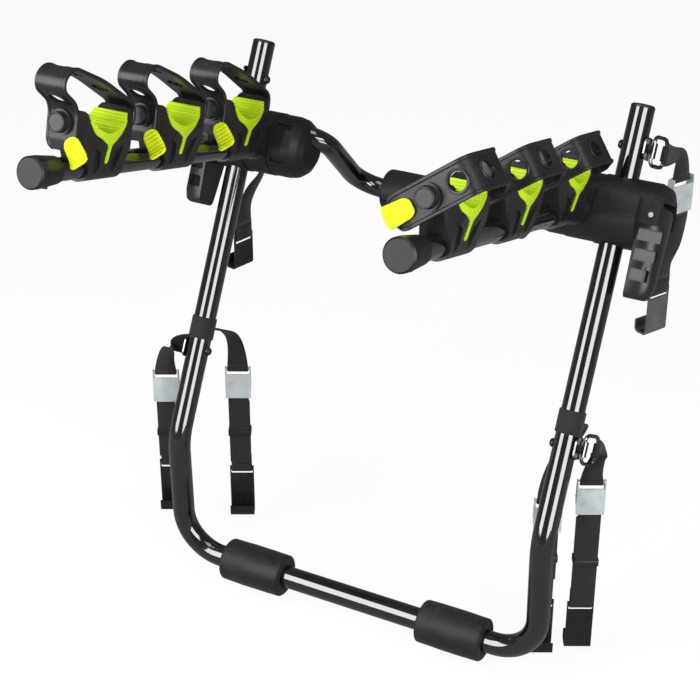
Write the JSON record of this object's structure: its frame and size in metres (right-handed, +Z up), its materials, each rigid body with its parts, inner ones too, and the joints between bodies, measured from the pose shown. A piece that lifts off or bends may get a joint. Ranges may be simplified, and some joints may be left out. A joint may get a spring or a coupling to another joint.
{
  "type": "strap-on boot bike carrier",
  "caption": "Strap-on car boot bicycle carrier: folding tube frame, clamp hubs, lined cradles with rubber straps, foam pads and hooked webbing straps.",
  "frame": {"origin": "middle of the lower crossbar's axis, between the two foam pads that rest on the bumper", "axes": "+X to the right as seen from behind the car, facing it; +Y towards the car; +Z up; the arms point to -Y"},
  "size_m": [0.6407, 0.6211, 0.7906],
  "materials": {
    "black_tube": "satin black powder coat",
    "black_plastic": "fine moulded grain",
    "black_foam": "matte closed-cell foam",
    "lime_rubber": "ribbed soft plastic",
    "strap_rubber": "satin moulded rubber",
    "webbing": "ribbed polypropylene webbing",
    "zinc": "bright zinc plate",
    "black_steel": "black dip coat"
  },
  "bodies": {
    "frame": {"main_frame": "black_tube", "top_plugs": "black_plastic", "lower_pads": "black_foam", "strap_brackets": "zinc", "strap_rings": "zinc", "bracket_bolts": "zinc", "bracket_nuts": "zinc", "lever_pins": "zinc", "draw_bolts": "zinc", "fixed_index_discs": "black_plastic", "buckle_bodies": "zinc", "steel_hooks": "zinc", "plate_hooks": "black_steel", "hank_bands": "strap_rubber", "webbing_upper_right": "webbing", "webbing_upper_left": "webbing", "webbing_left_outer": "webbing", "webbing_left_inner": "webbing", "webbing_right_outer": "webbing", "webbing_right_inner": "webbing", "hub_housing_left": "black_plastic", "hub_housing_right": "black_plastic"},
    "upper_frame": {"upper_tube": "black_tube", "upper_pad": "black_foam", "hub_end_caps": "black_plastic", "upper_index_discs": "black_plastic"},
    "arm_left": {"arm_socket_left": "black_plastic", "arm_index_discs_left": "black_plastic", "arm_tube_left": "black_tube", "arm_cap_left": "black_plastic"},
    "arm_right": {"arm_socket_right": "black_plastic", "arm_index_discs_right": "black_plastic", "arm_tube_right": "black_tube", "arm_cap_right": "black_plastic"},
    "lever_left": {"release_lever_left": "black_plastic"},
    "lever_right": {"release_lever_right": "black_plastic"},
    "cradle_left_1": {"cradle_body_left_1": "black_plastic", "cradle_lining_left_1": "lime_rubber", "cradle_strap_left_1": "strap_rubber"},
    "cradle_left_2": {"cradle_body_left_2": "black_plastic", "cradle_lining_left_2": "lime_rubber", "cradle_strap_left_2": "strap_rubber"},
    "cradle_left_3": {"cradle_body_left_3": "black_plastic", "cradle_lining_left_3": "lime_rubber", "cradle_strap_left_3": "strap_rubber"},
    "cradle_right_1": {"cradle_body_right_1": "black_plastic", "cradle_lining_right_1": "lime_rubber", "cradle_strap_right_1": "strap_rubber"},
    "cradle_right_2": {"cradle_body_right_2": "black_plastic", "cradle_lining_right_2": "lime_rubber", "cradle_strap_right_2": "strap_rubber"},
    "cradle_right_3": {"cradle_body_right_3": "black_plastic", "cradle_lining_right_3": "lime_rubber", "cradle_strap_right_3": "strap_rubber"},
    "cam_upper_right": {"cam_lever_upper_right": "zinc"},
    "cam_upper_left": {"cam_lever_upper_left": "zinc"},
    "cam_left_outer": {"cam_lever_left_outer": "zinc"},
    "cam_left_inner": {"cam_lever_left_inner": "zinc"},
    "cam_right_outer": {"cam_lever_right_outer": "zinc"},
    "cam_right_inner": {"cam_lever_right_inner": "zinc"}
  },
  "joints": [
    {"name": "upper_frame_swing", "type": "hinge", "parent": "frame", "child": "upper_frame", "pos_m": [0, 0.17689, 0.52212], "axis": [1, 0, 0], "range_deg": [-75, 60]},
    {"name": "arm_swing_left", "type": "hinge", "parent": "frame", "child": "arm_left", "pos_m": [-0.213, 0.17689, 0.52212], "axis": [1, 0, 0], "range_deg": [-15, 70]},
    {"name": "arm_swing_right", "type": "hinge", "parent": "frame", "child": "arm_right", "pos_m": [0.213, 0.17689, 0.52212], "axis": [1, 0, 0], "range_deg": [-15, 70]},
    {"name": "release_lever_turn_left", "type": "hinge", "parent": "frame", "child": "lever_left", "pos_m": [-0.3014, 0.1778, 0.5239], "axis": [0, 0.891, -0.454], "range_deg": [0, 85]},
    {"name": "release_lever_turn_right", "type": "hinge", "parent": "frame", "child": "lever_right", "pos_m": [0.3014, 0.1778, 0.5239], "axis": [0, -0.891, 0.454], "range_deg": [0, 85]},
    {"name": "cradle_turn_left_1", "type": "hinge", "parent": "arm_left", "child": "cradle_left_1", "pos_m": [-0.21068, -0.19481, 0.62241], "axis": [0.006, -0.9655, 0.2605], "range_deg": [-25, 25]},
    {"name": "cradle_turn_left_2", "type": "hinge", "parent": "arm_left", "child": "cradle_left_2", "pos_m": [-0.21156, -0.05289, 0.58412], "axis": [0.006, -0.9655, 0.2605], "range_deg": [-25, 25]},
    {"name": "cradle_turn_left_3", "type": "hinge", "parent": "arm_left", "child": "cradle_left_3", "pos_m": [-0.21245, 0.08903, 0.54583], "axis": [0.006, -0.9655, 0.2605], "range_deg": [-25, 25]},
    {"name": "cradle_turn_right_1", "type": "hinge", "parent": "arm_right", "child": "cradle_right_1", "pos_m": [0.21068, -0.19481, 0.62241], "axis": [-0.006, -0.9655, 0.2605], "range_deg": [-25, 25]},
    {"name": "cradle_turn_right_2", "type": "hinge", "parent": "arm_right", "child": "cradle_right_2", "pos_m": [0.21156, -0.05289, 0.58412], "axis": [-0.006, -0.9655, 0.2605], "range_deg": [-25, 25]},
    {"name": "cradle_turn_right_3", "type": "hinge", "parent": "arm_right", "child": "cradle_right_3", "pos_m": [0.21245, 0.08903, 0.54583], "axis": [-0.006, -0.9655, 0.2605], "range_deg": [-25, 25]},
    {"name": "cam_lever_turn_upper_right", "type": "hinge", "parent": "frame", "child": "cam_upper_right", "pos_m": [0.28682, 0.29609, 0.507], "axis": [0.4384, 0.8988, 0], "range_deg": [0, 60], "stiffness_Nm_per_rad": 0.03, "springref_deg": -22.92},
    {"name": "cam_lever_turn_upper_left", "type": "hinge", "parent": "frame", "child": "cam_upper_left", "pos_m": [-0.28519, 0.27193, 0.5], "axis": [-0.342, 0.9397, 0], "range_deg": [0, 60], "stiffness_Nm_per_rad": 0.03, "springref_deg": -22.92},
    {"name": "cam_lever_turn_left_outer", "type": "hinge", "parent": "frame", "child": "cam_left_outer", "pos_m": [-0.30409, 0.04618, 0.21], "axis": [0.8829, 0.4695, 0], "range_deg": [0, 60], "stiffness_Nm_per_rad": 0.03, "springref_deg": -22.92},
    {"name": "cam_lever_turn_left_inner", "type": "hinge", "parent": "frame", "child": "cam_left_inner", "pos_m": [-0.24309, 0.12618, 0.192], "axis": [0.8829, 0.4695, 0], "range_deg": [0, 60], "stiffness_Nm_per_rad": 0.03, "springref_deg": -22.92},
    {"name": "cam_lever_turn_right_outer", "type": "hinge", "parent": "frame", "child": "cam_right_outer", "pos_m": [0.28291, 0.07018, 0.202], "axis": [0.8829, 0.4695, 0], "range_deg": [0, 60], "stiffness_Nm_per_rad": 0.03, "springref_deg": -22.92},
    {"name": "cam_lever_turn_right_inner", "type": "hinge", "parent": "frame", "child": "cam_right_inner", "pos_m": [0.23191, 0.06618, 0.162], "axis": [0.8829, 0.4695, 0], "range_deg": [0, 60], "stiffness_Nm_per_rad": 0.03, "springref_deg": -22.92}
  ]
}
